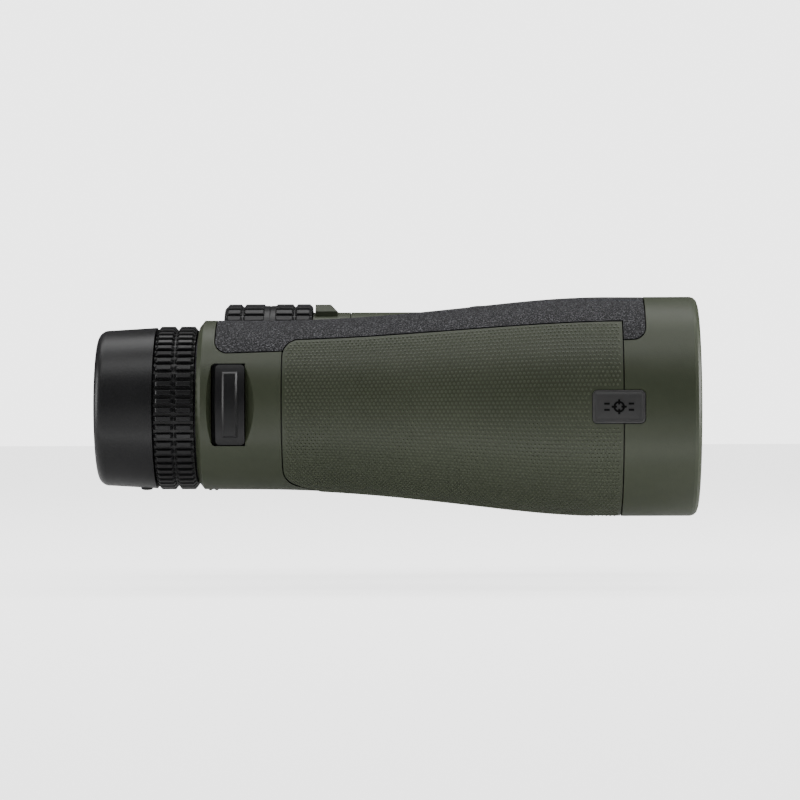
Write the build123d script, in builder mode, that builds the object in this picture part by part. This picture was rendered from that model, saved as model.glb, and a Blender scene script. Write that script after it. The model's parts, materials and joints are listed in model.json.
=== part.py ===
from build123d import *
from math import atan, cos, hypot, radians, sin
import os

os.makedirs("parts", exist_ok=True)

# A roof-prism rangefinding binocular. All sizes are in millimetres. +X is the way the objectives look, +Z is up
# and +Y is the user's left. The origin is on the table, under the middle of the instrument.

# ---- Driving dimensions ----
LENGTH = 148.4
PUPIL_SPACING = 68.0
BARREL_Y = -PUPIL_SPACING / 2
FRONT_RADIUS = 27.2
AXIS_Z = FRONT_RADIUS
HINGE_RISE = 13.1
HINGE_Z = AXIS_Z + HINGE_RISE
HINGE_REACH = hypot(PUPIL_SPACING / 2, HINGE_RISE)
REAR = -LENGTH / 2
FRONT = LENGTH / 2

# Barrel covers and the chassis tube under them
COVER = 2.2
SEAM = 0.3
BODY_REAR = -49.0
REAR_RADIUS = 21.0
BODY_RAISE = 0.75
RAISE_END = 60.0
BEZEL_START = 55.25
CHASSIS_REAR = -46.5
CHASSIS_FRONT = 66.0
FIELD_BORE = 13.3
PRISM_BORE = 16.8
OBJECTIVE_BORE = 23.3
CAP_BORE = 22.6

# Eyepiece
TUBE_REAR = -72.0
TUBE_RADIUS = 15.4
TUBE_BORE = 13.4
RUNNING = 0.05
RING_REAR = -59.4
RING_FRONT = -49.5
RING_RADIUS = 20.26
CUP_FRONT = -59.7
CUP_BORE = 18.35

# Hinge, focus wheel and battery tube
KNUCKLE_RADIUS = 11.3
AXLE_RADIUS = 9.5
AXLE_BORE = 8.2
AXLE_REAR = -22.0
AXLE_FRONT = 30.0
RIGHT_KNUCKLES = ((-22.1, -12.6), (6.1, 18.0))
LEFT_KNUCKLES = ((-12.4, 5.9),)
WEB_WIDTH = 9.0
FOOT_WIDTH = 12.0
FOOT_X = (-24.0, 20.0)
WHEEL_REAR = -44.8
WHEEL_FRONT = -22.35
WHEEL_RADIUS = 13.5

# Focus drive: one slider in the axle moves an arm of each barrel's carriage
RIGHT_ARM_X = -16.8
LEFT_ARM_X = -8.2
ARM_HALF = 1.1
ARM_WIDTH = 3.0
ARM_REACH = HINGE_REACH - 5.6
FOCUS_TRAVEL = 1.5
SLOT_HALF = 3.0
SLOT_WIDTH = 4.0
RAIL = (16.2, 17.5)

# Strap pocket and bar
STRAP_Z = 0.76
STRAP_FLOOR = 14.5
POCKET_X = (-45.2, -36.9)
POCKET_RIM = 18.7
RIM_DEPTH = 4.0
POCKET_HEIGHT = 20.2
BAR_X = -40.55
BAR_WIDTH = 7.1
BAR_HEIGHT = 19.6
RIDGE_WIDTH = 3.7
RIDGE_HEIGHT = 16.1
RIDGE_RISE = 0.8

# Grip panel, spine and badge outlines, seen from the side
PANEL_REAR = -27.8
PANEL_CORNER = 4.0
PANEL_FRONT_CORNER = 3.6
SPINE_REAR = -44.4
SPINE_FRONT = 60.7
SPINE_CORNER = 3.0
BADGE_X = 54.0
BADGE_LENGTH = 12.75
BADGE_WIDTH = 8.0
BADGE_CORNER = 1.2
BADGE_RISE = 0.2
BADGE_GAP = 0.15

# Buttons on the spine, each turned inward from the crown
BUTTON_X = 23.0
BUTTON_LENGTH = 14.0
BUTTON_WIDTH = 9.0
BUTTON_TURN = 20.0
BUTTON_TOP = 25.5
BUTTON_FOOT = 21.6

# ---- Planes and axes ----
PROFILE = Plane(origin=(0, BARREL_Y, AXIS_Z), x_dir=(1, 0, 0), z_dir=(0, -1, 0))
BARREL_AXIS = Axis((0, BARREL_Y, AXIS_Z), (1, 0, 0))
HINGE_PROFILE = Plane(origin=(0, 0, HINGE_Z), x_dir=(1, 0, 0), z_dir=(0, -1, 0))
HINGE_AXIS = Axis((0, 0, HINGE_Z), (1, 0, 0))
TO_HINGE = (0, PUPIL_SPACING / 2, HINGE_RISE)
TILT = atan(BODY_RAISE / (RAISE_END - BODY_REAR))
BODY_DIRECTION = (cos(TILT), 0, -sin(TILT))
BODY_PROFILE = Plane(
    origin=(RAISE_END, BARREL_Y, AXIS_Z), x_dir=BODY_DIRECTION, z_dir=(0, -1, 0)
)
BODY_AXIS = Axis((RAISE_END, BARREL_Y, AXIS_Z), BODY_DIRECTION)


def toward_hinge(x):
    """Cross plane at x whose own x runs from the barrel's axis to the hinge."""
    return Plane(origin=(x, BARREL_Y, AXIS_Z), x_dir=TO_HINGE, z_dir=(1, 0, 0))


def across(x):
    """Cross plane at x, centred on the barrel, with its own y up."""
    return Plane(origin=(x, BARREL_Y, AXIS_Z), x_dir=(0, 1, 0), z_dir=(1, 0, 0))


def button_plane(radius):
    """Plane square to the button's travel, at a distance from the barrel's axis."""
    turn = radians(BUTTON_TURN)
    outward = (0, sin(turn), cos(turn))
    origin = (BUTTON_X, BARREL_Y + radius * sin(turn), AXIS_Z + radius * cos(turn))
    return Plane(origin=origin, x_dir=(1, 0, 0), z_dir=outward)


def turned(outline, plane=PROFILE, axis=BARREL_AXIS):
    """A turned piece from its half outline, points of (x, radius)."""
    with BuildPart() as piece:
        with BuildSketch(plane):
            with BuildLine():
                Polyline(*outline, close=True)
            make_face()
        revolve(axis=axis)
    return piece.part


def tube(x0, x1, outer, inner, plane=PROFILE, axis=BARREL_AXIS):
    """A plain tube between two places along the axis."""
    outline = ((x0, inner), (x0, outer), (x1, outer), (x1, inner))
    return turned(outline, plane, axis)


def body_form(inset, rear=BODY_REAR, front=BEZEL_START, bevel=0.4):
    """The barrel's outer form, narrower by inset: straight, flared and straight again."""
    back = rear - RAISE_END
    nose = front - RAISE_END
    waist = REAR_RADIUS - inset
    with BuildPart() as form:
        with BuildSketch(BODY_PROFILE):
            with BuildLine():
                flare = Spline(
                    (-94.0, waist),
                    (-64.0, waist + 1.35),
                    (-35.0, waist + 4.35),
                    (-7.0, waist + 6.15),
                    tangents=((1, 0), (1, 0)),
                )
                end = flare @ 1
                Polyline(
                    flare @ 0,
                    (back + bevel, waist),
                    (back, waist - 1.25 * bevel),
                    (back, 0),
                    (nose, 0),
                    (nose, end.Y),
                    (end.X, end.Y),
                )
            make_face()
        revolve(axis=BODY_AXIS)
    return form.part


def block_toward_hinge(x0, x1, near, far, width):
    """A straight block that runs from near to far along the line from barrel to hinge."""
    with BuildPart() as block:
        with BuildSketch(toward_hinge(x0)):
            with Locations(((near + far) / 2, 0)):
                Rectangle(far - near, width)
        extrude(amount=x1 - x0)
    return block.part


def lens(x0, x1, radius, rear_bulge, front_bulge):
    """A ground lens: two spherical faces and a plain edge from x0 to x1."""
    with BuildPart() as glass:
        with BuildSketch(PROFILE):
            with BuildLine():
                Line((x0 - rear_bulge, 0), (x1 + front_bulge, 0))
                TangentArc((x1 + front_bulge, 0), (x1, radius), tangent=(0, 1))
                Line((x1, radius), (x0, radius))
                TangentArc((x0 - rear_bulge, 0), (x0, radius), tangent=(0, 1))
            make_face()
        revolve(axis=BARREL_AXIS)
    return glass.part


def panel_side(grow=0.0):
    """The grip panel's side outline as a solid, open at the front and under the barrel."""
    back = PANEL_REAR - grow
    with BuildPart() as side:
        with BuildSketch(PROFILE.offset(-8 - grow)) as outline:
            with BuildLine():
                top = Spline(
                    (back, 16.5 + grow), (1.2, 17.8 + grow), (25.5, 19.5 + grow), (56.0, 20.8 + grow)
                )
                Polyline(top @ 1, (56.0, -32.0), (20.0, -32.0), (back, -18.2 - grow), top @ 0)
            make_face()
            corners = outline.vertices().filter_by(lambda v: v.X < -20)
            fillet(corners, radius=PANEL_CORNER + grow)
        extrude(amount=60)
        split(bisect_by=Plane.YZ.offset(BEZEL_START - SEAM / 2 + grow), keep=Keep.BOTTOM)
        front_top = side.edges().filter_by(Axis.Y).filter_by(lambda e: e.center().X > 50)
        fillet(front_top.sort_by(Axis.Z)[-1], radius=PANEL_FRONT_CORNER + grow)
    return side.part


def spine_side(grow=0.0):
    """The spine's side outline as a solid across the whole barrel."""
    back = SPINE_REAR - grow
    front = SPINE_FRONT + grow
    with BuildPart() as side:
        with BuildSketch(PROFILE.offset(-40)) as outline:
            with BuildLine():
                Polyline(
                    (back, 45.0), (back, 13.5 - grow), (front, 16.6 - grow), (front, 45.0), close=True
                )
            make_face()
            corners = outline.vertices().filter_by(lambda v: v.Z < AXIS_Z + 20)
            fillet(corners, radius=SPINE_CORNER + grow)
        extrude(amount=80)
    return side.part


def badge_side(grow=0.0):
    """The badge's rounded side outline as a solid on the outer side of the barrel."""
    with BuildPart() as side:
        with BuildSketch(PROFILE.offset(15)):
            with Locations((BADGE_X, 0)):
                RectangleRounded(
                    BADGE_LENGTH + 2 * grow, BADGE_WIDTH + 2 * grow, BADGE_CORNER + grow
                )
        extrude(amount=20)
    return side.part


def button_shape(low, high, grow=0.0):
    """The button's long oval between two distances from the barrel's axis."""
    with BuildPart() as oval:
        with BuildSketch(button_plane(low)):
            SlotOverall(BUTTON_LENGTH + 2 * grow, BUTTON_WIDTH + 2 * grow)
        extrude(amount=high - low)
    return oval.part


def strap_pocket():
    """The hollow behind the strap bar, with a rim that slopes out at the front and rear."""
    floor = BARREL_Y - STRAP_FLOOR
    rim = BARREL_Y - POCKET_RIM
    with BuildPart() as hollow:
        with BuildSketch(Plane.XY.offset(AXIS_Z + STRAP_Z - POCKET_HEIGHT / 2)):
            with BuildLine():
                Polyline(
                    (POCKET_X[0], floor),
                    (POCKET_X[1], floor),
                    (POCKET_X[1], rim),
                    (POCKET_X[1] + RIM_DEPTH, rim - RIM_DEPTH),
                    (POCKET_X[0] - RIM_DEPTH / 2, rim - RIM_DEPTH),
                    (POCKET_X[0], rim),
                    close=True,
                )
            make_face()
        extrude(amount=POCKET_HEIGHT)
        rear_corners = hollow.faces().filter_by(Axis.Z).edges().filter_by(
            lambda e: e.center().X < BAR_X - BAR_WIDTH / 2
        )
        fillet(rear_corners, radius=0.9)
    return hollow.part


def foot_side(grow=0.0):
    """The bridge foot's outline as a block that runs towards the hinge."""
    return block_toward_hinge(
        FOOT_X[0] - grow, FOOT_X[1] + grow, 10, HINGE_REACH, FOOT_WIDTH + 2 * grow
    )


def write(piece, name):
    """Label one finished piece and write it to its own file."""
    piece.label = name
    export_step(piece, "parts/" + name + ".step")


def write_pair(piece, name):
    """Write a right-hand piece and its mirror image for the left barrel."""
    write(piece, "right_" + name)
    write(mirror(piece, about=Plane.XZ), "left_" + name)


# Forms that several pieces are cut from
outer_form = body_form(0, bevel=1.2)
cover_bed = body_form(COVER, rear=BODY_REAR - 2, front=FRONT)
pocket = strap_pocket()
button_hole = button_shape(15, 35, grow=SEAM)

# ---- Covers ----
with BuildPart() as grip_panel:
    add(panel_side())
    add(outer_form, mode=Mode.INTERSECT)
    add(cover_bed, mode=Mode.SUBTRACT)
    add(badge_side(grow=BADGE_GAP), mode=Mode.SUBTRACT)
write_pair(grip_panel.part, "grip_panel")

with BuildPart() as top_spine:
    add(spine_side())
    add(body_form(0, rear=BODY_REAR, front=FRONT), mode=Mode.INTERSECT)
    add(cover_bed, mode=Mode.SUBTRACT)
    add(panel_side(grow=SEAM), mode=Mode.SUBTRACT)
    add(button_hole, mode=Mode.SUBTRACT)
write_pair(top_spine.part, "top_spine")

with BuildPart() as body_armor:
    add(outer_form)
    add(cover_bed, mode=Mode.SUBTRACT)
    add(panel_side(grow=SEAM), mode=Mode.SUBTRACT)
    add(spine_side(grow=SEAM), mode=Mode.SUBTRACT)
    add(foot_side(grow=SEAM), mode=Mode.SUBTRACT)
    add(pocket, mode=Mode.SUBTRACT)
write_pair(body_armor.part, "body_armor")

bezel_outline = (
    (BEZEL_START + SEAM / 2, 25.1),
    (BEZEL_START + SEAM / 2, FRONT_RADIUS),
    (FRONT - 1.7, FRONT_RADIUS),
    (FRONT - 0.9, FRONT_RADIUS - 0.25),
    (FRONT - 0.3, FRONT_RADIUS - 0.8),
    (FRONT, FRONT_RADIUS - 1.6),
    (FRONT, CAP_BORE + 1.4),
    (FRONT - 1.4, CAP_BORE),
    (CHASSIS_FRONT + 0.3, CAP_BORE),
    (CHASSIS_FRONT + 0.3, 25.1),
)
with BuildPart() as objective_bezel:
    add(turned(bezel_outline))
    add(spine_side(grow=SEAM), mode=Mode.SUBTRACT)
    add(badge_side(grow=BADGE_GAP), mode=Mode.SUBTRACT)
write_pair(objective_bezel.part, "objective_bezel")

with BuildPart() as side_badge:
    add(badge_side())
    add(tube(40, 70, FRONT_RADIUS + BADGE_RISE, 25.2), mode=Mode.INTERSECT)
write_pair(side_badge.part, "side_badge")

with BuildPart() as strap_bar:
    with BuildSketch(PROFILE.offset(STRAP_FLOOR)):
        with Locations((BAR_X, STRAP_Z)):
            RectangleRounded(BAR_WIDTH, BAR_HEIGHT, 1.0)
    extrude(amount=10)
    with BuildSketch(PROFILE.offset(STRAP_FLOOR)):
        with Locations((BAR_X, STRAP_Z)):
            Rectangle(BAR_WIDTH + 1, BAR_HEIGHT - 4)
    extrude(amount=3.4, mode=Mode.SUBTRACT)
    add(body_form(-0.1), mode=Mode.INTERSECT)
with BuildPart() as bar_ridge:
    with BuildSketch(PROFILE.offset(19.2)):
        with Locations((BAR_X, STRAP_Z)):
            Rectangle(RIDGE_WIDTH, RIDGE_HEIGHT)
    extrude(amount=6)
    add(body_form(-RIDGE_RISE), mode=Mode.INTERSECT)
    chamfer(bar_ridge.faces().sort_by(Axis.Y)[0].edges(), length=0.45)
with BuildPart() as ridged_bar:
    add(strap_bar.part)
    add(bar_ridge.part)
write_pair(ridged_bar.part, "strap_bar")

# ---- Chassis and bridge ----
cavity_outline = (
    (CHASSIS_REAR - 1, 0),
    (CHASSIS_REAR - 1, FIELD_BORE),
    (-34.0, FIELD_BORE),
    (-34.0, PRISM_BORE),
    (-2.0, PRISM_BORE),
    (6.0, 18.6),
    (40.0, 22.6),
    (40.0, OBJECTIVE_BORE),
    (CHASSIS_FRONT + 1, OBJECTIVE_BORE),
    (CHASSIS_FRONT + 1, 0),
)


def screw_holes(seats, head, shank):
    """Stepped screw shapes along the line to the hinge, two at each (x, seat) place."""
    with BuildPart() as holes:
        for x, seat in seats:
            level = Plane(
                origin=toward_hinge(x).from_local_coords((seat, 0, 0)),
                x_dir=(1, 0, 0),
                z_dir=TO_HINGE,
            )
            with BuildSketch(level):
                with GridLocations(1, 7, 1, 2):
                    Circle(head)
            extrude(amount=1.2)
            with BuildSketch(level):
                with GridLocations(1, 7, 1, 2):
                    Circle(shank)
            extrude(amount=-2.2)
    return holes.part


def barrel_chassis(arm_x, seats):
    """The barrel's inner tube, with its pocket floor, button well, arm slot and screw holes."""
    with BuildPart() as chassis:
        add(body_form(COVER, rear=CHASSIS_REAR, front=CHASSIS_FRONT))
        add(turned(cavity_outline), mode=Mode.SUBTRACT)
        add(pocket, mode=Mode.SUBTRACT)
        add(button_hole, mode=Mode.SUBTRACT)
        add(block_toward_hinge(arm_x - SLOT_HALF, 16, 14, 17.9, SLOT_WIDTH), mode=Mode.SUBTRACT)
        add(arm_slot(arm_x), mode=Mode.SUBTRACT)
        add(screw_holes(seats, 1.45, 0.9), mode=Mode.SUBTRACT)
    return chassis.part


def arm_slot(arm_x):
    """The slot that a focus arm slides in, from the barrel into the hinge tube."""
    return block_toward_hinge(
        arm_x - SLOT_HALF, arm_x + SLOT_HALF, 14, HINGE_REACH - 6, SLOT_WIDTH
    )


def bridge_arm(knuckles, arm_x, seats, bump):
    """A foot on the barrel with a web and a hinge knuckle at each place."""
    with BuildPart() as arm:
        add(foot_side())
        add(body_form(0.0), mode=Mode.INTERSECT)
        for start, end in knuckles:
            add(block_toward_hinge(start, end, 17, HINGE_REACH - 10, WEB_WIDTH))
            add(tube(start, end, KNUCKLE_RADIUS, 1.0, HINGE_PROFILE, HINGE_AXIS))
        if bump:
            add(bump)
        add(cover_bed, mode=Mode.SUBTRACT)
        add(hinge_bore, mode=Mode.SUBTRACT)
        add(arm_slot(arm_x), mode=Mode.SUBTRACT)
        add(screw_holes(seats, 1.45, 0.9), mode=Mode.SUBTRACT)
        add(screw_wells(seats), mode=Mode.SUBTRACT)
    return arm.part


def screw_wells(seats):
    """Straight wells above the screw heads."""
    with BuildPart() as wells:
        for x, seat in seats:
            level = Plane(
                origin=toward_hinge(x).from_local_coords((seat + 1, 0, 0)),
                x_dir=(1, 0, 0),
                z_dir=TO_HINGE,
            )
            with BuildSketch(level):
                with GridLocations(1, 7, 1, 2):
                    Circle(1.45)
            extrude(amount=4)
    return wells.part


def focus_carriage(arm_x):
    """The lens cell that slides in the barrel, its rail and the arm to the slider."""
    with BuildPart() as carriage:
        add(tube(5.0, 12.0, 17.6, 16.05))
        add(block_toward_hinge(arm_x - ARM_HALF, 7.0, RAIL[0], RAIL[1], ARM_WIDTH))
        add(
            block_toward_hinge(
                arm_x - ARM_HALF, arm_x + ARM_HALF, RAIL[0], ARM_REACH, ARM_WIDTH
            )
        )
    return carriage.part


hinge_bore = tube(-30, 30, AXLE_RADIUS + RUNNING, 0, HINGE_PROFILE, HINGE_AXIS)

# Small raised stop on top of the rear knuckle
with BuildPart() as knuckle_bump:
    with BuildSketch(HINGE_PROFILE.offset(-4.8)):
        with BuildLine():
            Polyline(
                (-21.6, 10.3), (-21.6, 13.3), (-17.7, 13.3), (-15.9, 11.4), (-15.9, 10.3), close=True
            )
        make_face()
    extrude(amount=9.6)
    chamfer(knuckle_bump.edges().filter_by(Axis.X).sort_by(Axis.Z)[-2:], length=1.8)

RIGHT_SEATS = ((-8.5, 20.8), (1.0, 21.6))
LEFT_SEATS = ((-18.0, 20.2), (13.0, 22.7))
for side, arm_x, knuckles, seats, bump in (
    ("right_", RIGHT_ARM_X, RIGHT_KNUCKLES, RIGHT_SEATS, knuckle_bump.part),
    ("left_", LEFT_ARM_X, LEFT_KNUCKLES, LEFT_SEATS, None),
):
    pieces = {
        "barrel_chassis": barrel_chassis(arm_x, seats),
        "bridge_arm": bridge_arm(knuckles, arm_x, seats, bump),
        "bridge_screws": screw_holes(seats, 1.42, 0.87),
        "focus_carriage": focus_carriage(arm_x),
    }
    for name, piece in pieces.items():
        if side == "left_":
            piece = mirror(piece, about=Plane.XZ)
        write(piece, side + name)

# ---- Objective ----
cell_outline = (
    (40.3, 22.0),
    (40.3, OBJECTIVE_BORE - RUNNING),
    (CHASSIS_FRONT, OBJECTIVE_BORE - RUNNING),
    (CHASSIS_FRONT, 21.4),
    (63.6, 21.4),
    (63.6, 22.0),
)
write_pair(turned(cell_outline), "objective_cell")
write_pair(lens(57.0, 63.5, 21.97, 0.8, 1.6), "objective_lens")
write_pair(lens(6.5, 10.5, 16.0, 0.6, 0.9), "focus_lens")

# ---- Prisms ----
with BuildPart() as prism_cage:
    add(tube(-33.0, 1.0, 15.8, 14.8))
    add(tube(-33.0, -31.4, 15.3, 9.0))
    add(tube(-0.6, 1.0, 15.3, 9.0))
write_pair(prism_cage.part, "prism_cage")


def prism(outline):
    """A ground prism of the given side outline, as deep as the prism aperture."""
    with BuildPart() as glass:
        with BuildSketch(PROFILE.offset(-7.5)):
            with BuildLine():
                Polyline(*outline, close=True)
            make_face()
        extrude(amount=15)
    return glass.part


write_pair(prism(((-2.0, -8.4), (-2.0, 8.4), (-8.4, 11.8), (-20.0, -8.4))), "half_penta_prism")
with BuildPart() as roof_prism:
    add(prism(((-9.2, 11.8), (-20.8, -8.4), (-30.5, -8.4), (-30.5, 8.4), (-22.0, 11.8))))
    roof = roof_prism.edges().filter_by(Axis.X).sort_by(Axis.Z)[-2:]
    chamfer(roof, length=4)
write_pair(roof_prism.part, "roof_prism")

# ---- Eyepiece ----
tube_outline = (
    (TUBE_REAR, TUBE_BORE),
    (TUBE_REAR, TUBE_RADIUS),
    (BODY_REAR - 0.4, TUBE_RADIUS),
    (BODY_REAR - 0.4, 17.8),
    (CHASSIS_REAR - 0.2, 17.8),
    (CHASSIS_REAR - 0.2, TUBE_BORE),
)
PIN_X = -54.5
with BuildPart() as ocular_tube:
    add(turned(tube_outline))
    with BuildSketch(Plane.XY.offset(AXIS_Z + 10)):
        with Locations((PIN_X, BARREL_Y)):
            SlotOverall(5.4, 2.4)
    extrude(amount=8, mode=Mode.SUBTRACT)
write_pair(ocular_tube.part, "ocular_tube")

ring_outline = (
    (RING_REAR, TUBE_RADIUS + RUNNING),
    (RING_REAR, RING_RADIUS - 0.9),
    (RING_REAR + 0.9, RING_RADIUS),
    (PIN_X - 0.6, RING_RADIUS),
    (PIN_X + 0.2, RING_RADIUS - 0.65),
    (PIN_X + 1.0, RING_RADIUS),
    (RING_FRONT - 0.7, RING_RADIUS),
    (RING_FRONT, RING_RADIUS - 0.8),
    (RING_FRONT, TUBE_RADIUS + RUNNING),
    (PIN_X + 2.8, TUBE_RADIUS + RUNNING),
    (PIN_X + 2.8, 16.6),
    (PIN_X - 2.8, 16.6),
    (PIN_X - 2.8, TUBE_RADIUS + RUNNING),
)
write_pair(turned(ring_outline), "diopter_ring")

ocular_outline = (
    (-70.3, 12.0),
    (-70.3, TUBE_BORE - RUNNING),
    (-49.0, TUBE_BORE - RUNNING),
    (-49.0, 11.5),
    (-42.0, 11.5),
    (-42.0, 10.3),
    (-62.4, 10.3),
    (-62.4, 12.0),
)
with BuildPart() as ocular_cell:
    add(turned(ocular_outline))
    with BuildSketch(Plane.XY.offset(AXIS_Z + 12.5)):
        with Locations((PIN_X, BARREL_Y)):
            Circle(1.0)
    extrude(amount=3.8)
write_pair(ocular_cell.part, "ocular_cell")
write_pair(lens(-67.0, -63.0, 11.97, 0.9, 1.6), "eye_lens")

GUIDE_X = (-71.5, -69.3)
with BuildPart() as eyecup_guide:
    add(tube(GUIDE_X[0], GUIDE_X[1], 16.8, TUBE_RADIUS + RUNNING))
    with BuildSketch(across(GUIDE_X[0])):
        with PolarLocations(16.8, 3):
            Rectangle(1.6, 3.0)
    extrude(amount=GUIDE_X[1] - GUIDE_X[0])
write_pair(eyecup_guide.part, "eyecup_guide")

SLEEVE_X = (-72.2, -60.2)
with BuildPart() as eyecup_sleeve:
    add(tube(SLEEVE_X[0], SLEEVE_X[1], CUP_BORE - RUNNING, 16.9))
    with BuildSketch(across(GUIDE_X[0] - 0.2)):
        with PolarLocations(16.9, 3):
            Rectangle(1.7, 3.4)
    extrude(amount=SLEEVE_X[1] - GUIDE_X[0] + 1, mode=Mode.SUBTRACT)
write_pair(eyecup_sleeve.part, "eyecup_sleeve")

with BuildPart() as eyecup_rubber:
    with BuildSketch(PROFILE):
        with BuildLine():
            rim = ThreePointArc((REAR + 2.6, 19.3), (REAR + 0.7, 18.5), (REAR, 16.8))
            Polyline(
                rim @ 1,
                (REAR + 0.6, 15.7),
                (SLEEVE_X[0] - 0.05, 15.6),
                (SLEEVE_X[0] - 0.05, CUP_BORE),
                (CUP_FRONT, CUP_BORE),
                (CUP_FRONT, 20.0),
                rim @ 0,
            )
        make_face()
    revolve(axis=BARREL_AXIS)
write_pair(eyecup_rubber.part, "eyecup_rubber")


# ---- Hinge tube, focus drive and battery ----
def turned_hinge(outline):
    """A turned piece about the hinge."""
    return turned(outline, HINGE_PROFILE, HINGE_AXIS)


SWEEP_START = -69.0
SWEEP = 85.0
sweep_turn = radians(SWEEP_START)
sweep_plane = Plane(
    origin=(0, 0, HINGE_Z), x_dir=(1, 0, 0), z_dir=(0, -sin(sweep_turn), cos(sweep_turn))
)
axle_outline = (
    (AXLE_REAR, AXLE_BORE),
    (AXLE_REAR, AXLE_RADIUS),
    (18.2, AXLE_RADIUS),
    (18.2, 8.95),
    (AXLE_FRONT, 8.95),
    (AXLE_FRONT, AXLE_BORE),
)
with BuildPart() as hinge_axle:
    add(turned_hinge(axle_outline))
    add(arm_slot(RIGHT_ARM_X), mode=Mode.SUBTRACT)
    with BuildSketch(sweep_plane):
        with Locations((LEFT_ARM_X, 9.0)):
            Rectangle(2 * SLOT_HALF, 4.0)
    revolve(axis=HINGE_AXIS, revolution_arc=SWEEP, mode=Mode.SUBTRACT)
write(hinge_axle.part, "hinge_axle")

GROOVE = ARM_HALF + 0.05
slider_outline = (
    (-19.0, 3.05),
    (-19.0, 8.1),
    (RIGHT_ARM_X - GROOVE, 8.1),
    (RIGHT_ARM_X - GROOVE, 5.0),
    (RIGHT_ARM_X + GROOVE, 5.0),
    (RIGHT_ARM_X + GROOVE, 8.1),
    (LEFT_ARM_X - GROOVE, 8.1),
    (LEFT_ARM_X - GROOVE, 5.0),
    (LEFT_ARM_X + GROOVE, 5.0),
    (LEFT_ARM_X + GROOVE, 8.1),
    (-6.0, 8.1),
    (-6.0, 3.05),
)
write(turned_hinge(slider_outline), "focus_slider")

hub_outline = (
    (WHEEL_REAR + 1.6, 0),
    (WHEEL_REAR + 1.6, 9.0),
    (WHEEL_REAR + 0.4, 9.6),
    (WHEEL_REAR + 0.4, 10.98),
    (-22.5, 10.98),
    (-22.5, 8.15),
    (-20.9, 8.15),
    (-20.9, 3.0),
    (-4.0, 3.0),
    (-4.0, 0),
)
write(turned_hinge(hub_outline), "focus_hub")

LOW_BAND = WHEEL_RADIUS - 0.4
V_DEPTH = 0.7
wheel_outline = (
    (WHEEL_REAR, 11.0),
    (WHEEL_REAR, 12.3),
    (WHEEL_REAR + 1.1, WHEEL_RADIUS),
    (WHEEL_REAR + 4.1, WHEEL_RADIUS),
    (WHEEL_REAR + 4.75, WHEEL_RADIUS - V_DEPTH),
    (WHEEL_REAR + 5.4, WHEEL_RADIUS),
    (WHEEL_REAR + 10.0, WHEEL_RADIUS),
    (WHEEL_REAR + 10.3, LOW_BAND),
    (WHEEL_REAR + 13.1, LOW_BAND),
    (WHEEL_REAR + 13.4, WHEEL_RADIUS),
    (WHEEL_REAR + 17.35, WHEEL_RADIUS),
    (WHEEL_REAR + 18.0, WHEEL_RADIUS - V_DEPTH),
    (WHEEL_REAR + 18.6, WHEEL_RADIUS),
    (WHEEL_FRONT - 0.6, WHEEL_RADIUS),
    (WHEEL_FRONT, WHEEL_RADIUS - 0.6),
    (WHEEL_FRONT, 11.0),
)
write(turned_hinge(wheel_outline), "focus_wheel_grip")

battery_outline = ((-1.0, 0), (-1.0, 7.8), (25.0, 7.8), (25.0, 3.0), (26.0, 3.0), (26.0, 0))
write(turned_hinge(battery_outline), "battery")

SOCKET_RADIUS = 2.58
CAP_FRONT = 36.5
cap_outline = (
    (26.4, 0),
    (26.4, AXLE_BORE - RUNNING),
    (28.6, AXLE_BORE - RUNNING),
    (28.6, 7.5),
    (29.6, 7.5),
    (29.6, AXLE_BORE - RUNNING),
    (AXLE_FRONT + 0.1, AXLE_BORE - RUNNING),
    (AXLE_FRONT + 0.1, 8.9),
    (CAP_FRONT - 0.8, 8.9),
    (CAP_FRONT, 8.1),
    (CAP_FRONT, SOCKET_RADIUS),
    (28.5, SOCKET_RADIUS),
    (28.5, 0),
)
write(turned_hinge(cap_outline), "battery_cap")
write(tube(28.65, 29.55, 8.15, 7.55, HINGE_PROFILE, HINGE_AXIS), "cap_seal")

# ---- Buttons and electronics ----
button_blank = button_shape(BUTTON_FOOT, BUTTON_TOP)
with BuildPart() as button:
    add(button_blank)
    fillet(button.faces().sort_by(Axis.Z)[-1].edges(), radius=0.7)
write(button.part, "fire_button")
write(mirror(button.part, about=Plane.XZ), "mode_button")

with BuildPart() as switch_board:
    with BuildSketch(button_plane(18.2)):
        with Locations((0.3, 0)):
            Rectangle(13.6, 9.0)
    extrude(amount=1.0)
    with BuildSketch(button_plane(19.2)):
        Circle(3.0)
    extrude(amount=1.4)
write(switch_board.part, "main_board")
write(mirror(switch_board.part, about=Plane.XZ), "mode_board")

write(tube(-36.5, -35.5, FIELD_BORE - RUNNING, 0), "display_glass")

with BuildPart() as laser_receiver:
    with BuildSketch(PROFILE.offset(8.2)):
        with Locations((-12.0, 0)):
            Rectangle(14, 8)
    extrude(amount=4.5)
write(laser_receiver.part, "laser_receiver")
write(mirror(laser_receiver.part, about=Plane.XZ), "laser_emitter")
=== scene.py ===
"""Looks of the rangefinding binocular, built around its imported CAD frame. Lengths are metres."""

import json
import math

import bpy
import numpy as np
from mathutils import Matrix, Vector
from mathutils.bvhtree import BVHTree


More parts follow.
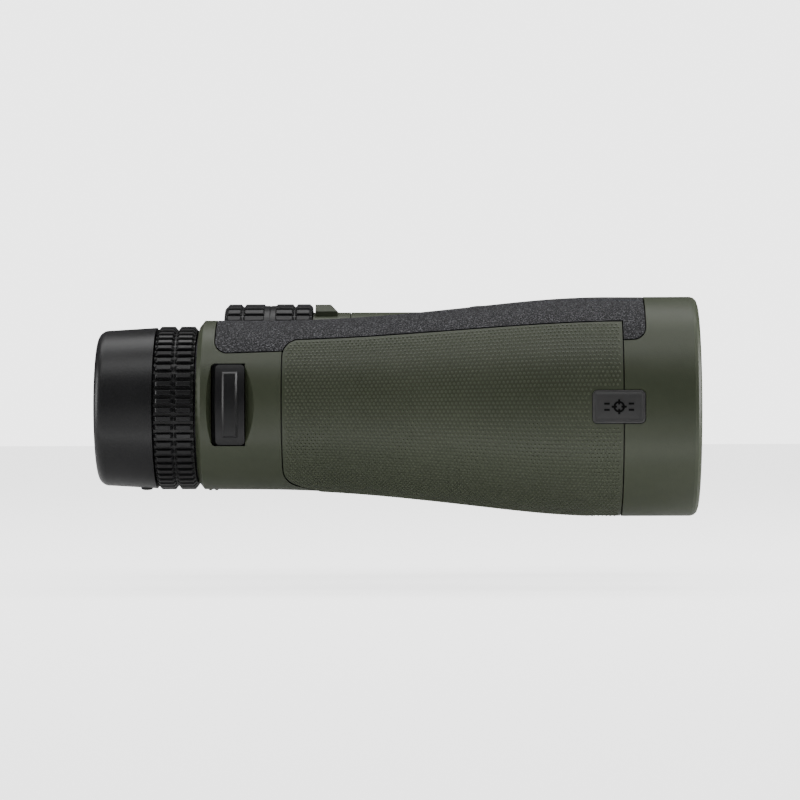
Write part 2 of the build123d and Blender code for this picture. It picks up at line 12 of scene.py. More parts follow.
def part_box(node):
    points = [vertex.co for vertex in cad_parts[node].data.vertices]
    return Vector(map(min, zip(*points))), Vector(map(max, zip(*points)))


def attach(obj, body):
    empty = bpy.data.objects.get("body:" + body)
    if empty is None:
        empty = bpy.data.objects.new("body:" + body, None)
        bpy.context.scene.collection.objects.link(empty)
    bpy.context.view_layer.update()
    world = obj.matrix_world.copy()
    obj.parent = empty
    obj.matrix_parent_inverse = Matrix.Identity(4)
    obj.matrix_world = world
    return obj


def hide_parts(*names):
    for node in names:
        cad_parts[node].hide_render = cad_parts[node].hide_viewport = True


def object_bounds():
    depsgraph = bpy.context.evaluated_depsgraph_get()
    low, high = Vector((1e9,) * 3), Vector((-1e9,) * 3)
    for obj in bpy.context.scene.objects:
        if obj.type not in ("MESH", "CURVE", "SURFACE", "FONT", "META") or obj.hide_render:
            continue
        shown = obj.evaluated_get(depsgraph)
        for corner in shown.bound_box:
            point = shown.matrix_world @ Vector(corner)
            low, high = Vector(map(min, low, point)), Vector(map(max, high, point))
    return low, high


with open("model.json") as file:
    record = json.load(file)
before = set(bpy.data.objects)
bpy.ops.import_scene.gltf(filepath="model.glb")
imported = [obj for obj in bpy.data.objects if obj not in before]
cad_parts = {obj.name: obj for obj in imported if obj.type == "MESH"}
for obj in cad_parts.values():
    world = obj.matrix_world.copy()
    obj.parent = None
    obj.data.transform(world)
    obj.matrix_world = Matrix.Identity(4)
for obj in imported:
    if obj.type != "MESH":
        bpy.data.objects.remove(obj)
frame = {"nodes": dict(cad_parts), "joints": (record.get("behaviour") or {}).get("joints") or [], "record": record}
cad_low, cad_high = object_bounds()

MM = 0.001
SIDES = ("right", "left")
nodes = frame["nodes"]


# ---- Places read from the frame ----
def middle(node):
    """Centre of a node's box."""
    low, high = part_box(node)
    return (low + high) / 2


AXIS_Z = middle("right_diopter_ring").z
BARREL_Y = {side: middle(side + "_diopter_ring").y for side in SIDES}
OUTWARD = {"right": -1.0, "left": 1.0}
HINGE_Z = middle("focus_wheel_grip").z


# ---- Materials ----
# Most of a noise texture's values lie between these
NOISE_LOW = 0.3
NOISE_HIGH = 0.7


class Nodes:
    """A small helper for building one material's node tree."""

    def __init__(self, name):
        self.material = bpy.data.materials.new(name)
        self.material.use_nodes = True
        self.tree = self.material.node_tree
        self.shader = self.tree.nodes["Principled BSDF"]
        self.place = self.add("ShaderNodeTexCoord").outputs["Object"]

    def add(self, kind, **values):
        node = self.tree.nodes.new(kind)
        for key, value in values.items():
            setattr(node, key, value)
        return node

    def link(self, start, end):
        self.tree.links.new(start, end)

    def noise(self, scale, detail=3.0):
        node = self.add("ShaderNodeTexNoise")
        node.inputs["Scale"].default_value = scale
        node.inputs["Detail"].default_value = detail
        self.link(self.place, node.inputs["Vector"])
        return node.outputs["Fac"]

    def cells(self, scale):
        node = self.add("ShaderNodeTexVoronoi")
        node.inputs["Scale"].default_value = scale
        self.link(self.place, node.inputs["Vector"])
        return node.outputs["Distance"]

    def ramp(self, source, low, high, start=NOISE_LOW, end=NOISE_HIGH):
        """Colours between low and high as source goes from start to end."""
        node = self.add("ShaderNodeValToRGB")
        node.color_ramp.elements[0].position = start
        node.color_ramp.elements[1].position = end
        node.color_ramp.elements[0].color = (*low, 1)
        node.color_ramp.elements[1].color = (*high, 1)
        self.link(source, node.inputs["Fac"])
        return node.outputs["Color"]

    def spread(self, source, low, high):
        """Map a noise onto a range of values."""
        node = self.add("ShaderNodeMapRange")
        node.inputs["From Min"].default_value = NOISE_LOW
        node.inputs["From Max"].default_value = NOISE_HIGH
        node.inputs["To Min"].default_value = low
        node.inputs["To Max"].default_value = high
        self.link(source, node.inputs["Value"])
        return node.outputs["Result"]

    def bump(self, source, height, below=None):
        """Bump of a given height in metres, on top of another bump if there is one."""
        node = self.add("ShaderNodeBump")
        node.inputs["Distance"].default_value = height
        node.inputs["Strength"].default_value = 1.0
        self.link(source, node.inputs["Height"])
        if below is not None:
            self.link(below, node.inputs["Normal"])
        return node.outputs["Normal"]

    def set(self, name, value):
        self.shader.inputs[name].default_value = value


def moulded(name, low, high, rough, grain, grain_size, grain_height, specular=0.5):
    """Moulded or painted surface: slight colour drift, uneven gloss and a fine grain."""
    m = Nodes(name)
    drift = m.noise(45.0, detail=4.0)
    fine = m.noise(grain_size, detail=grain)
    m.link(m.ramp(drift, low, high), m.shader.inputs["Base Color"])
    m.link(m.spread(drift, *rough), m.shader.inputs["Roughness"])
    m.link(m.bump(fine, grain_height), m.shader.inputs["Normal"])
    m.set("Specular IOR Level", specular)
    return m.material


def sparkling_grain(name):
    """Black moulding with a fine pebbled grain, and pale flecks in its colour: painted glints that stand for the
    grain catching the light.
    """
    m = Nodes(name)
    drift = m.noise(60.0)
    pebbles = m.cells(2100.0)
    flecks = m.noise(3000.0, detail=2.0)
    # Pale flecks in the base colour: painted glints, not a colour of the moulding
    painted_glint_colour = m.ramp(flecks, (0.015, 0.015, 0.017), (0.19, 0.19, 0.205), 0.50, 0.70)
    m.link(painted_glint_colour, m.shader.inputs["Base Color"])
    m.link(m.spread(drift, 0.50, 0.58), m.shader.inputs["Roughness"])
    low = m.bump(pebbles, -0.16 * MM)
    m.link(m.bump(flecks, 0.12 * MM, below=low), m.shader.inputs["Normal"])
    m.set("Specular IOR Level", 0.22)
    return m.material


def coated_glass(name, tint, see_through):
    """Multi-coated lens: very smooth, a dark violet bloom and a view into the barrel."""
    m = Nodes(name)
    drift = m.noise(20.0)
    m.link(m.ramp(drift, tint, tuple(c * 0.8 for c in tint)), m.shader.inputs["Base Color"])
    m.set("Roughness", 0.01)
    m.set("IOR", 1.52)
    m.set("Transmission Weight", see_through)
    m.set("Specular Tint", (0.62, 0.45, 1.0, 1))
    m.set("Coat Weight", 0.5)
    m.set("Coat Roughness", 0.02)
    m.set("Coat Tint", (0.75, 0.6, 1.0, 1))
    return m.material


def turned_metal(name, low, high, rough):
    """Anodised turned alloy, with fine rings around the barrel's axis."""
    m = Nodes(name)
    wave = m.add("ShaderNodeTexWave", bands_direction="X")
    wave.inputs["Scale"].default_value = 900.0
    wave.inputs["Distortion"].default_value = 1.5
    m.link(m.place, wave.inputs["Vector"])
    drift = m.noise(80.0)
    m.link(m.ramp(drift, low, high), m.shader.inputs["Base Color"])
    m.link(m.spread(drift, *rough), m.shader.inputs["Roughness"])
    m.link(m.bump(wave.outputs["Fac"], 0.01 * MM), m.shader.inputs["Normal"])
    m.set("Metallic", 0.6)
    return m.material


# The darkest and palest colour of each finish
GREEN = ((0.054, 0.065, 0.037), (0.066, 0.078, 0.046))
# Paler green of the grip's dots: a painted highlight on them
DOT_HIGHLIGHT_GREEN = ((0.074, 0.087, 0.051), (0.092, 0.106, 0.065))
BLACK = ((0.011, 0.011, 0.012), (0.017, 0.017, 0.018))
GREY = ((0.048, 0.048, 0.048), (0.060, 0.060, 0.060))
DULL_BLACK = ((0.002, 0.002, 0.002), (0.003, 0.003, 0.003))
ANODISED = ((0.02, 0.02, 0.022), (0.032, 0.032, 0.035))
BLACKENED = ((0.09, 0.09, 0.1), (0.14, 0.14, 0.15))
BLUE_WRAP = ((0.10, 0.12, 0.17), (0.14, 0.16, 0.22))
BOARD_GREEN = ((0.01, 0.07, 0.03), (0.02, 0.11, 0.05))
# One material for each of the record's slots
MATERIALS = {
    "green_armor": moulded("green_armor_rubber", *GREEN, (0.40, 0.48), 3, 3500, 0.02 * MM),
    "green_grip": moulded("green_grip_rubber", *GREEN, (0.42, 0.50), 3, 4500, 0.02 * MM),
    "green_metal": moulded("green_satin_paint", *GREEN, (0.36, 0.44), 3, 3000, 0.01 * MM),
    "black_spine": sparkling_grain("spine_grain"),
    "badge_grey": moulded("badge_moulding", *GREY, (0.38, 0.46), 3, 4000, 0.01 * MM),
    "black_plastic": moulded("black_plastic", *BLACK, (0.34, 0.42), 3, 3500, 0.01 * MM, 0.38),
    "black_rubber": moulded("black_rubber", *BLACK, (0.32, 0.38), 4, 3200, 0.02 * MM, 0.42),
    "black_metal": moulded("black_paint", *BLACK, (0.40, 0.48), 3, 2600, 0.01 * MM, 0.4),
    "alloy_black": turned_metal("anodised_alloy", *ANODISED, (0.32, 0.42)),
    "dark_steel": turned_metal("blackened_steel", *BLACKENED, (0.26, 0.36)),
    "coated_glass": coated_glass("coated_glass", (0.12, 0.10, 0.18), 0.8),
    "clear_glass": coated_glass("prism_glass", (0.75, 0.85, 0.85), 0.9),
    "battery_wrap": moulded("battery_wrap", *BLUE_WRAP, (0.25, 0.3), 2, 900, 0.01 * MM),
    "circuit_board": moulded("solder_mask", *BOARD_GREEN, (0.3, 0.4), 2, 1200, 0.01 * MM),
}
# The grip's dots are paler than the panel under them, a painted highlight on every dot, and the marks are darker
# than black plastic
DOT_MATERIAL = moulded("worn_grip_dots", *DOT_HIGHLIGHT_GREEN, (0.34, 0.42), 3, 4500, 0.01 * MM)
INK = moulded("matt_black_ink", *DULL_BLACK, (0.6, 0.7), 2, 3000, 0.01 * MM, 0.1)


def paint(piece, slot):
    """Give a piece the material of a record slot, and only that."""
    piece.data.materials.clear()
    piece.data.materials.append(MATERIALS[slot])


SLOT_OF = {part["node"]: part["material_slot"] for part in frame["record"]["subparts"]}
for node, slot in SLOT_OF.items():
    paint(nodes[node], slot)


# ---- Mesh helpers ----
BODIES = frame["record"]["behaviour"]["bodies"]
BODY_OF = {node: body for body, members in BODIES.items() for node in members}
EDGE_ROUNDING = 0.06 * MM


def new_piece(name, points, faces, body, slot, smooth_below):
    """A mesh piece in the shared frame, riding on a body and painted from a slot."""
    mesh = bpy.data.meshes.new(name)
    mesh.from_pydata([tuple(p) for p in points], [], faces)
    mesh.update()
    mesh.shade_smooth()
    mesh.set_sharp_from_angle(angle=math.radians(smooth_below))
    piece = bpy.data.objects.new(name, mesh)
    bpy.context.scene.collection.objects.link(piece)
    paint(piece, slot)
    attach(piece, body)
    return piece


def stand_for(name, node, points, faces, smooth_below):
    """A mesh piece that takes a CAD node's place."""
    piece = new_piece(name, points, faces, BODY_OF[node], SLOT_OF[node], smooth_below)
    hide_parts(node)
    return piece


def skin(loops, closed=False):
    """Points and faces of a solid through equal loops: closed on itself, or capped at both ends."""
    count = len(loops[0])
    points = [p for loop in loops for p in loop]
    faces = []
    for i in range(len(loops) if closed else len(loops) - 1):
        here, there = i * count, (i + 1) % len(loops) * count
        for j in range(count):
            k = (j + 1) % count
            faces.append((here + j, here + k, there + k, there + j))
    if not closed:
        faces.append(tuple(reversed(range(count))))
        faces.append(tuple(range(len(points) - count, len(points))))
    return points, faces


def round_loop(x, centre, radii, angles):
    """Points round a line along X through centre, (y, z), with a radius for each angle."""
    return [(x, centre[0] + r * math.sin(a), centre[1] + r * math.cos(a)) for r, a in zip(radii, angles)]


def soften(piece):
    """Small rounded edges, where faces meet at more than 30 degrees."""
    bevel = piece.modifiers.new("edge_rounding", "BEVEL")
    bevel.width = EDGE_ROUNDING
    bevel.segments = 2
    bevel.limit_method = "ANGLE"
    bevel.angle_limit = math.radians(30)
    bevel.use_clamp_overlap = True


# ---- Ribbed turned pieces ----
# Outlines are (place, drop) in millimetres, from the node's rear and its greatest radius
RING_OUTLINE = (
    (0.0, 0.95), (0.1, 0.85), (0.9, 0.0), (4.2, 0.0), (4.95, 0.9), (5.1, 0.9),
    (5.8, 0.0), (9.1, 0.0), (9.8, 0.85), (9.9, 0.9),
)
RING_RIBS = 58
RING_RIB_DEPTH = 0.85
RING_BORE = 15.5 * MM

# The middle band is plain, so its points give a groove depth of nothing
WHEEL_OUTLINE = (
    (0.0, 1.2), (0.5, 0.7), (1.1, 0.0), (4.1, 0.0), (4.65, 0.7), (4.85, 0.7), (5.4, 0.0), (10.0, 0.0),
    (10.3, 0.4, 0.0), (11.55, 0.4, 0.0), (11.7, 0.55, 0.0), (11.85, 0.4, 0.0), (13.1, 0.4, 0.0),
    (13.4, 0.0), (17.35, 0.0), (17.9, 0.7), (18.1, 0.7), (18.65, 0.0), (21.75, 0.0), (22.45, 0.7),
)
WHEEL_RIBS = 30
WHEEL_RIB_DEPTH = 0.7
WHEEL_BORE = 11.0 * MM

# The cap: plug, knurled skirt, face with a shallow ring, and the threaded tripod socket down its middle
THREAD_START = 9.5
THREAD_STEP = 0.635
THREAD_POINTS = 11
THREAD_CREST = 6.32
THREAD_ROOT = 5.85
THREAD = [
    (THREAD_START - THREAD_STEP * turn, THREAD_ROOT if turn % 2 else THREAD_CREST)
    for turn in range(THREAD_POINTS)
]
BESIDE_CAP_AXIS = 8.85
CAP_OUTLINE = (
    (0.0, BESIDE_CAP_AXIS), (0.0, 0.75), (3.7, 0.75), (3.7, 0.3), (4.0, 0.0), (9.3, 0.0), (9.9, 0.35),
    (10.1, 0.9), (10.1, 1.7), (9.9, 1.9), (9.9, 2.5), (10.1, 2.7), (10.1, 5.6), (9.9, 5.9),
    *THREAD, (2.2, THREAD_CREST), (2.1, BESIDE_CAP_AXIS),
)
CAP_RIBS = 30
CAP_RIB_DEPTH = 0.35

# One rib and its gap: share of the pitch, share of the groove's depth
NARROW_RIB = ((0.0, 0.25), (0.05, 0.0), (0.50, 0.0), (0.55, 0.25), (0.60, 1.0), (0.95, 1.0))
BROAD_RIB = (
    (0.0, 0.42), (0.05, 0.14), (0.12, 0.0), (0.62, 0.0), (0.69, 0.14), (0.74, 0.42), (0.79, 1.0), (0.95, 1.0),
)


def ribbed(name, node, centre, outline, ribs, rib, depth, bore=None):
    """Turned piece about a line along X through centre, (y, z). Its ribs are cut down to one depth
    wherever the outline is above it, and a point's third number is its own groove depth. Without a
    bore, the outline starts and ends beside the axis."""
    low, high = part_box(node)
    radius = (high.z - low.z) / 2
    angles = [math.tau * (number + share) / ribs for number in range(ribs) for share, cut in rib]
    cuts = [cut for number in range(ribs) for share, cut in rib]
    loops = []
    for along, drop, *own in outline:
        groove = own[0] if own else max(0.0, depth - drop)
        radii = [radius - (drop + groove * cut) * MM for cut in cuts]
        loops.append(round_loop(low.x + along * MM, centre, radii, angles))
    if bore is not None:
        for along in (outline[-1][0], outline[0][0]):
            loops.append(round_loop(low.x + along * MM, centre, [bore] * len(angles), angles))
    points, faces = skin(loops, closed=bore is not None)
    soften(stand_for(name, node, points, faces, smooth_below=25.0))


for side in SIDES:
    ribbed(side + "_ribbed_diopter_ring", side + "_diopter_ring", (BARREL_Y[side], AXIS_Z),
           RING_OUTLINE, RING_RIBS, NARROW_RIB, RING_RIB_DEPTH, RING_BORE)
ribbed("ribbed_focus_wheel", "focus_wheel_grip", (0.0, HINGE_Z),
       WHEEL_OUTLINE, WHEEL_RIBS, BROAD_RIB, WHEEL_RIB_DEPTH, WHEEL_BORE)
ribbed("knurled_battery_cap", "battery_cap", (0.0, HINGE_Z),
       CAP_OUTLINE, CAP_RIBS, BROAD_RIB, CAP_RIB_DEPTH)


# ---- Lenses ----
# How far the rear and the front face bulge, in millimetres
LENS_BULGES = (("_objective_lens", 0.8, 1.6), ("_eye_lens", 0.9, 1.6), ("_focus_lens", 0.6, 0.9))
LENS_SIDES = 96
LENS_STEPS = 24
# Each face has a small flat at its middle, this share of the radius
LENS_FLAT = 0.004


def ground_lens(node, rear_bulge, front_bulge):
    """A round lens with two bulging faces and a plain ground edge between them."""
    low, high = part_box(node)
    centre = (low + high) / 2
    radius = (high.z - low.z) / 2
    shares = [max(step / LENS_STEPS, LENS_FLAT) for step in range(LENS_STEPS + 1)]
    rear = [(low.x + rear_bulge * MM * share * share, share) for share in shares]
    front = [(high.x - front_bulge * MM * share * share, share) for share in reversed(shares)]
    angles = [math.tau * j / LENS_SIDES for j in range(LENS_SIDES)]
    loops = []
    for x, share in rear + front:
        loops.append(round_loop(x, (centre.y, centre.z), [radius * share] * LENS_SIDES, angles))
    points, faces = skin(loops)
    stand_for(node + "_ground", node, points, faces, smooth_below=30.0)


for side in SIDES:
    for lens, rear_bulge, front_bulge in LENS_BULGES:
        ground_lens(side + lens, rear_bulge, front_bulge)


# ---- Places on the barrels' covers ----
# A ray towards the axis starts outside every cover, and stops short of the barrel's middle
RAY_START = 0.04
RAY_LENGTH = 0.03
# A face that leans further from the ray than this cosine is an edge, not the outer surface
LEAST_FACING = 0.9


def surface_tree(node):
    """Search tree of a CAD node's faces."""
    mesh = nodes[node].data
    return BVHTree.FromPolygons([v.co for v in mesh.vertices], [tuple(p.vertices) for p in mesh.polygons])


def cover_hit(tree, side, x, angle):
    """Point and normal of a cover's outer surface, at a place along X and round the barrel, or nothing."""
    away = Vector((0, OUTWARD[side] * math.cos(angle), math.sin(angle)))
    start = Vector((x, BARREL_Y[side], AXIS_Z)) + away * RAY_START
    point, normal = tree.ray_cast(start, -away, RAY_LENGTH)[:2]
    if point is None or normal.dot(away) < LEAST_FACING:
        return None
    return point, normal


# ---- Dotted grip ----
DOT_PITCH_X = 1.0 * MM
DOT_PITCH_ROUND = 0.95 * MM
DOT_RADIUS = 0.33 * MM
DOT_HEIGHT = 0.22 * MM
DOT_SIDES = 6
# Share of the radius and share of the height, from the sunken foot up to the shoulder
DOT_RINGS = ((1.0, -0.3), (1.0, 0.15), (0.66, 0.75))
# Least distance from a dot's middle to the panel's edge, tested in this many directions
DOT_MARGIN = 0.62 * MM
MARGIN_TESTS = 8
# The rows lie between these angles round the barrel, in radians up from its outer side
FIRST_ROW = -1.9
LAST_ROW = 1.1


def round_dot(place, normal, first):
    """Points and faces of one low dot, with its points numbered from first."""
    along = Vector((1, 0, 0)) - normal * normal.x
    along.normalize()
    across = normal.cross(along)
    points = []
    for spread, rise in DOT_RINGS:
        for j in range(DOT_SIDES):
            a = math.tau * j / DOT_SIDES
            reach = (along * math.cos(a) + across * math.sin(a)) * DOT_RADIUS * spread
            points.append(place + reach + normal * DOT_HEIGHT * rise)
    points.append(place + normal * DOT_HEIGHT)
    top = first + len(points) - 1
    faces = []
    for ring in range(len(DOT_RINGS) - 1):
        here = first + ring * DOT_SIDES
        for j in range(DOT_SIDES):
            k = (j + 1) % DOT_SIDES
            faces.append((here + j, here + k, here + DOT_SIDES + k, here + DOT_SIDES + j))
    here = top - DOT_SIDES
    faces += [(here + j, here + (j + 1) % DOT_SIDES, top) for j in range(DOT_SIDES)]
    faces.append(tuple(first + j for j in reversed(range(DOT_SIDES))))
    return points, faces


def grip_dots(side):
    """Staggered rows of low moulded dots over the grip panel, clear of its edges."""
    node = side + "_grip_panel"
    tree = surface_tree(node)
    low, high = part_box(node)
    step = DOT_PITCH_ROUND / (0.5 * (high.z - low.z))
    turn = DOT_MARGIN / (0.5 * (high.z - low.z))
    tests = [math.tau * i / MARGIN_TESTS for i in range(MARGIN_TESTS)]
    margin = [(DOT_MARGIN * math.cos(a), turn * math.sin(a)) for a in tests]
    points = []
    faces = []
    for row in range(round(FIRST_ROW / step), round(LAST_ROW / step)):
        angle = row * step
        x = low.x + (0.5 if row % 2 else 0.0) * DOT_PITCH_X
        while x < high.x:
            x += DOT_PITCH_X
            hit = cover_hit(tree, side, x, angle)
            if hit is None or (hit[0] + hit[1] * DOT_HEIGHT).z < cad_low.z:
                continue
            if any(cover_hit(tree, side, x + dx, angle + da) is None for dx, da in margin):
                continue
            dot_points, dot_faces = round_dot(*hit, len(points))
            points += dot_points
            faces += dot_faces
    piece = new_piece(side + "_grip_dots", points, faces, BODY_OF[node], SLOT_OF[node], smooth_below=80.0)
    # The dots' paler material is a painted highlight on them
    piece.data.materials[0] = DOT_MATERIAL


for side in SIDES:
    grip_dots(side)


# ---- Raised marks ----
# A mark's lines reach this far into the surface under them, in millimetres
MARK_FOOT = 0.08


def circle(radius, count=40):
    """A closed round line."""
    angles = np.linspace(0, math.tau, count, endpoint=False)
    return [(radius * math.cos(a), radius * math.sin(a)) for a in angles], True


def marks(name, place, lines, width, height, body):
    """Raised inked lines. place(u, v, lift) is a point on the marked surface, and each line is
    (points of (u, v) in millimetres, whether it closes)."""
    points = []
    faces = []
    for path, closed in lines:
        loops = []
        for i, here in enumerate(path):
            before = path[i - 1] if i or closed else here
            after = path[(i + 1) % len(path)] if i < len(path) - 1 or closed else here
            along = Vector((after[0] - before[0], after[1] - before[1])).normalized() * width / 2
            section = ((1, -MARK_FOOT), (1, height), (-1, height), (-1, -MARK_FOOT))
            loops.append([place((here[0] - s * along.y) * MM, (here[1] + s * along.x) * MM, lift * MM)
                          for s, lift in section])
        more_points, more_faces = skin(loops, closed)
        faces += [tuple(len(points) + v for v in face) for face in more_faces]
        points += more_points
    piece = new_piece(name, points, faces, body, "black_plastic", smooth_below=35.0)
    piece.data.materials[0] = INK


# ---- Badge with a plain sight mark ----
BADGE_CORNER = 1.2
LEAST_CORNER = 0.02
CORNER_STEPS = 6
# Inset from the badge's edge, and drop below its rim, in millimetres
BADGE_RELIEF = (
    (0.0, 1.6), (0.0, 0.25), (0.05, 0.11), (0.14, 0.03), (0.26, 0.0), (0.5, 0.0), (0.62, 0.04), (0.72, 0.14),
    (0.82, 0.18), (1.3, 0.18), (1.9, 0.18), (2.6, 0.18), (3.3, 0.18), (3.95, 0.18),
)
# A ring with four ticks, between two pairs of bars
TICK = (0.55, 1.0, 1.8)
BAR = (2.3, 2.9, 3.6)
BAR_RISE = 0.75
SIGHT_MARK = [
    circle(1.15),
    *(([(c * r, s * r) for r in TICK], False) for c, s in ((1, 0), (0, 1), (-1, 0), (0, -1))),
    *(([(way * r, rise) for r in BAR], False) for way in (-1, 1) for rise in (-BAR_RISE, BAR_RISE)),
]
SIGHT_WIDTH = 0.46
SIGHT_HEIGHT = 0.08


def rounded_outline(length, height, corner):
    """Points round a rectangle with rounded corners."""
    outline = []
    for sx, sz, start in ((1, 1, 0.0), (-1, 1, 90.0), (-1, -1, 180.0), (1, -1, 270.0)):
        cx = sx * (length / 2 - corner)
        cz = sz * (height / 2 - corner)
        for step in range(CORNER_STEPS + 1):
            a = math.radians(start + 90.0 * step / CORNER_STEPS)
            outline.append((cx + corner * math.cos(a), cz + corner * math.sin(a)))
    return outline


def on_barrel(side, x, rise, radius):
    """Point at a height above the barrel's axis, on a cylinder round that axis, on the outer side."""
    return (x, BARREL_Y[side] + OUTWARD[side] * math.sqrt(radius * radius - rise * rise), AXIS_Z + rise)


def badge(side):
    """Curved plaque with a rounded rim and a sunk face, and the sight mark on that face."""
    node = side + "_side_badge"
    low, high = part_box(node)
    centre = (low.x + high.x) / 2
    radius = max(abs(low.y), abs(high.y)) - abs(BARREL_Y[side])
    loops = []
    for inset, drop in BADGE_RELIEF:
        length = high.x - low.x - 2 * inset * MM
        height = high.z - low.z - 2 * inset * MM
        outline = rounded_outline(length, height, max(BADGE_CORNER - inset, LEAST_CORNER) * MM)
        loops.append([on_barrel(side, centre + x, z, radius - drop * MM) for x, z in outline])
    points, faces = skin(loops)
    stand_for(side + "_badge_plaque", node, points, faces, smooth_below=35.0)
    face = radius - BADGE_RELIEF[-1][1] * MM

    def on_face(u, v, lift):
        return on_barrel(side, centre + u, v, face + lift)

    marks(side + "_badge_mark", on_face, SIGHT_MARK, SIGHT_WIDTH, SIGHT_HEIGHT, BODY_OF[node])


for side in SIDES:
    badge(side)


# ---- Button marks ----
BUTTON_MARKS = {
    "fire_button": [circle(1.5), circle(0.35, 16)],
    "mode_button": [([(-1.6, v), (0.0, v), (1.6, v)], False) for v in (-1.1, 0.0, 1.1)],
}
BUTTON_MARK_WIDTH = 0.5
BUTTON_MARK_HEIGHT = 0.12
# Points within this of a button's highest point are on its flat top
TOP_TOLERANCE = 0.01 * MM


def button_marks(button, lines):
    """Marks on the flat top of a button, square to its travel."""
    axis = Vector(next(j["axis"] for j in frame["joints"] if j["child"] == button))
    outward = axis if axis.z > 0 else -axis
    reach = [(v.co.dot(outward), v.co) for v in nodes[button].data.vertices]
    top = max(height for height, point in reach)
    rim = [point for height, point in reach if height > top - TOP_TOLERANCE]
    centre = sum(rim, Vector()) / len(rim)
    centre.x = middle(button).x
    across = outward.cross(Vector((1, 0, 0)))

    def on_top(u, v, lift):
        return centre + Vector((u, 0, 0)) + across * v + outward * lift

    marks(button + "_mark", on_top, lines, BUTTON_MARK_WIDTH, BUTTON_MARK_HEIGHT, BODY_OF[button])


for button, lines in BUTTON_MARKS.items():
    button_marks(button, lines)


# ---- Small raised nubs on the underside ----
# Name, node, place along X, length, width and height, in millimetres
NUBS = (
    ("_eyecup_nub", "_eyecup_rubber", -62.45, 3.0, 1.8, 0.6),
    ("_rear_pip", "_body_armor", -46.6, 0.9, 0.9, 0.25),
    ("_front_pip", "_body_armor", -45.1, 0.9, 0.9, 0.25),
)
# Share of the nub's size and share of its height, from the sunken foot to the top
NUB_RELIEF = ((1.0, -2 / 3), (1.0, 1 / 6), (0.88, 19 / 30), (0.62, 9 / 10), (0.3, 1.0))
NUB_SIDES = 20
# Below 1, an oval goes towards a rounded rectangle
NUB_SQUARENESS = 0.8
STRAIGHT_DOWN = -math.pi / 2


def boxed(value):
    """A sine or cosine pushed outwards, which makes an oval squarer."""
    return math.copysign(abs(value) ** NUB_SQUARENESS, value)


def nub(name, node, place, length, width, height):
    """A soft oval boss, long along X, that stands down from a place on a node's underside."""
    loops = []
    for spread, rise in NUB_RELIEF:
        loop = []
        for j in range(NUB_SIDES):
            a = math.tau * j / NUB_SIDES
            u = boxed(math.cos(a)) * length / 2
            v = boxed(math.sin(a)) * width / 2
            loop.append(place + Vector((u * spread, -v * spread, -rise * height)))
        loops.append(loop)
    points, faces = skin(loops)
    new_piece(name, points, faces, BODY_OF[node], SLOT_OF[node], smooth_below=60.0)


for side in SIDES:
    for name, node, x, length, width, height in NUBS:
        place = cover_hit(surface_tree(side + node), side, x * MM, STRAIGHT_DOWN)[0]
        nub(side + name, side + node, place, length * MM, width * MM, height * MM)


# ---- Stage ----
# Room under the resting instrument for the left barrel, which swings down as the hinge closes
FLOOR_GAP = 0.018
FLOOR_SIZE = 6.0
# How strongly surroundings and floor light the object, and how bright the camera sees them
SURROUND_LIGHT = 0.10
BACKDROP_WHITE = 3.5
FLOOR_LIGHT = 0.10
FLOOR_GLOW = 2.5

# The camera looks at the right barrel, a little in front of the object's middle and above the axis
CAMERA_AIM = Vector((0.0006, BARREL_Y["right"], AXIS_Z + 0.0018))
CAMERA_DISTANCE = 0.950
CAMERA_TURN = math.radians(1.05)
CAMERA_ROLL = math.radians(-0.19)
CAMERA_LENS = 171.9
CAMERA_SENSOR = 36.0


def area_light(name, place, target, size, power):
    """A soft box that faces a point."""
    light = bpy.data.lights.new(name, "AREA")
    light.shape = "RECTANGLE"
    light.size, light.size_y = size
    light.energy = power
    lamp = bpy.data.objects.new(name, light)
    lamp.location = place
    lamp.rotation_euler = (target - place).to_track_quat("-Z", "Y").to_euler()
    lamp.visible_camera = False
    bpy.context.scene.collection.objects.link(lamp)


def floor_material():
    """Matt pale floor that looks brighter than it lights the object."""
    m = Nodes("pale_floor")
    m.link(m.ramp(m.noise(3.0), (0.74, 0.74, 0.74), (0.76, 0.76, 0.76)), m.shader.inputs["Base Color"])
    m.set("Roughness", 0.9)
    m.set("Specular IOR Level", 0.1)
    m.set("Emission Color", (1, 1, 1, 1))
    m.set("Emission Strength", FLOOR_LIGHT)
    glow = m.add("ShaderNodeEmission")
    glow.inputs["Strength"].default_value = FLOOR_GLOW
    dark = m.add("ShaderNodeEmission")
    dark.inputs["Strength"].default_value = 0.0
    rays = m.add("ShaderNodeLightPath")
    lit = m.add("ShaderNodeMixShader")
    both = m.add("ShaderNodeAddShader")
    m.link(rays.outputs["Is Camera Ray"], lit.inputs["Fac"])
    m.link(dark.outputs["Emission"], lit.inputs[1])
    m.link(glow.outputs["Emission"], lit.inputs[2])
    m.link(m.shader.outputs["BSDF"], both.inputs[0])
    m.link(lit.outputs["Shader"], both.inputs[1])
    m.link(both.outputs["Shader"], m.tree.nodes["Material Output"].inputs["Surface"])
    return m.material


def add_floor():
    """A wide plane under the object."""
    bpy.ops.mesh.primitive_plane_add(size=FLOOR_SIZE, location=(0, 0, cad_low.z - FLOOR_GAP))
    floor = bpy.context.object
    floor.name = "studio_floor"
    floor.data.materials.append(floor_material())


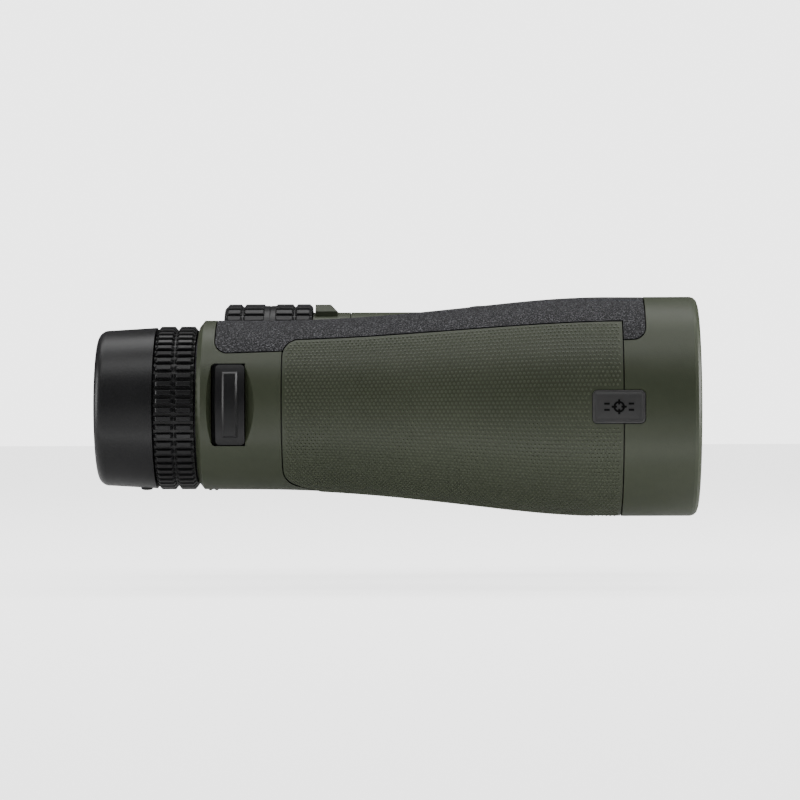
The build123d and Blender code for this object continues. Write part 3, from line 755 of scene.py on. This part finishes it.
def add_surroundings():
    """Soft light from all round, and a paler backdrop for the camera."""
    world = bpy.data.worlds.new("studio")
    bpy.context.scene.world = world
    world.use_nodes = True
    tree = world.node_tree
    soft = tree.nodes["Background"]
    backdrop = tree.nodes.new("ShaderNodeBackground")
    rays = tree.nodes.new("ShaderNodeLightPath")
    choice = tree.nodes.new("ShaderNodeMixShader")
    for light, strength in ((soft, SURROUND_LIGHT), (backdrop, BACKDROP_WHITE)):
        light.inputs["Color"].default_value = (1, 1, 1, 1)
        light.inputs["Strength"].default_value = strength
    tree.links.new(rays.outputs["Is Camera Ray"], choice.inputs["Fac"])
    tree.links.new(soft.outputs["Background"], choice.inputs[1])
    tree.links.new(backdrop.outputs["Background"], choice.inputs[2])
    tree.links.new(choice.outputs["Shader"], tree.nodes["World Output"].inputs["Surface"])


def add_lights():
    """Two soft boxes above, one beyond each end, and a faint strip low beside the right barrel."""
    centre = Vector((0, 0, AXIS_Z))
    strip = Vector((0, BARREL_Y["right"] - 0.040, cad_low.z + 0.002))
    area_light("key_above", centre + Vector((0, -0.30, 0.58)), centre, (0.9, 0.22), 1.7)
    area_light("top_back", centre + Vector((0, 0.22, 0.78)), centre, (1.2, 0.40), 3.9)
    area_light("low_front", strip, strip + Vector((0, 0.001, 1)), (0.22, 0.010), 0.008)
    area_light("rim_front", centre + Vector((0.60, -0.02, 0.12)), centre, (0.12, 0.40), 3.0)
    area_light("rim_rear", centre + Vector((-0.60, -0.08, 0.08)), centre, (0.12, 0.40), 1.6)


def add_camera():
    """The photograph's view: level with the right barrel, and turned a little towards its front."""
    camera = bpy.data.objects.new("camera", bpy.data.cameras.new("camera"))
    away = Vector((math.sin(CAMERA_TURN), -math.cos(CAMERA_TURN), 0))
    facing = (-away).to_track_quat("-Z", "Y").to_matrix().to_4x4()
    place = Matrix.Translation(CAMERA_AIM + CAMERA_DISTANCE * away)
    camera.matrix_world = place @ facing @ Matrix.Rotation(CAMERA_ROLL, 4, "Z")
    camera.data.sensor_width = CAMERA_SENSOR
    camera.data.lens = CAMERA_LENS
    camera.data.clip_start = 0.05
    bpy.context.scene.collection.objects.link(camera)
    bpy.context.scene.camera = camera


add_floor()
add_surroundings()
add_lights()
add_camera()
